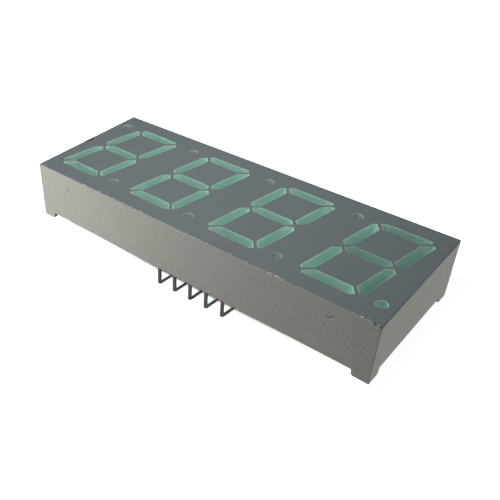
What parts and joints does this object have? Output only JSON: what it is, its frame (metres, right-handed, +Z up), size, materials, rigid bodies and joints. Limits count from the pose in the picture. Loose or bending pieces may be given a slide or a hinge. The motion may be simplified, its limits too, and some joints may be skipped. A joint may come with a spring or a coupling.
{
  "type": "seven segment display module",
  "caption": "Multi-digit seven segment LED display module: grey reflector housing with a dark coated face, green resin light windows, corner feet and rows of round wire pins.",
  "frame": {"origin": "middle of the footprint at the level of the pin tips, where the module stands", "axes": "+X along the row of digits to the right, +Y towards the tops of the digits, +Z up out of the face"},
  "size_m": [0.0502, 0.019, 0.0115],
  "materials": {
    "housing_plastic": "fine matt moulded surface",
    "face_coat": "matt printed coat",
    "green_resin": "tinted, diffusing cast resin",
    "board_laminate": "glass-cloth laminate",
    "board_copper": "plain copper",
    "solder": "satin solder",
    "led_die": "polished die",
    "bond_wire": "bright drawn wire",
    "tinned_pin": "dull tinned wire"
  },
  "bodies": {
    "root": {"reflector_housing": "housing_plastic", "face_coat": "face_coat", "epoxy_fill": "green_resin", "circuit_board": "board_laminate", "board_copper": "board_copper", "solder_joints": "solder", "led_dice_digit_1": "led_die", "led_dice_digit_2": "led_die", "led_dice_digit_3": "led_die", "led_dice_digit_4": "led_die", "led_die_point": "led_die", "bond_wires_digit_1": "bond_wire", "bond_wires_digit_2": "bond_wire", "bond_wires_digit_3": "bond_wire", "bond_wires_digit_4": "bond_wire", "bond_wire_point": "bond_wire", "pin_front_1": "tinned_pin", "pin_front_2": "tinned_pin", "pin_front_3": "tinned_pin", "pin_front_4": "tinned_pin", "pin_front_5": "tinned_pin", "pin_back_1": "tinned_pin", "pin_back_2": "tinned_pin", "pin_back_3": "tinned_pin", "pin_back_4": "tinned_pin", "pin_back_5": "tinned_pin", "pin_back_6": "tinned_pin", "pin_back_7": "tinned_pin"}
  },
  "joints": []
}
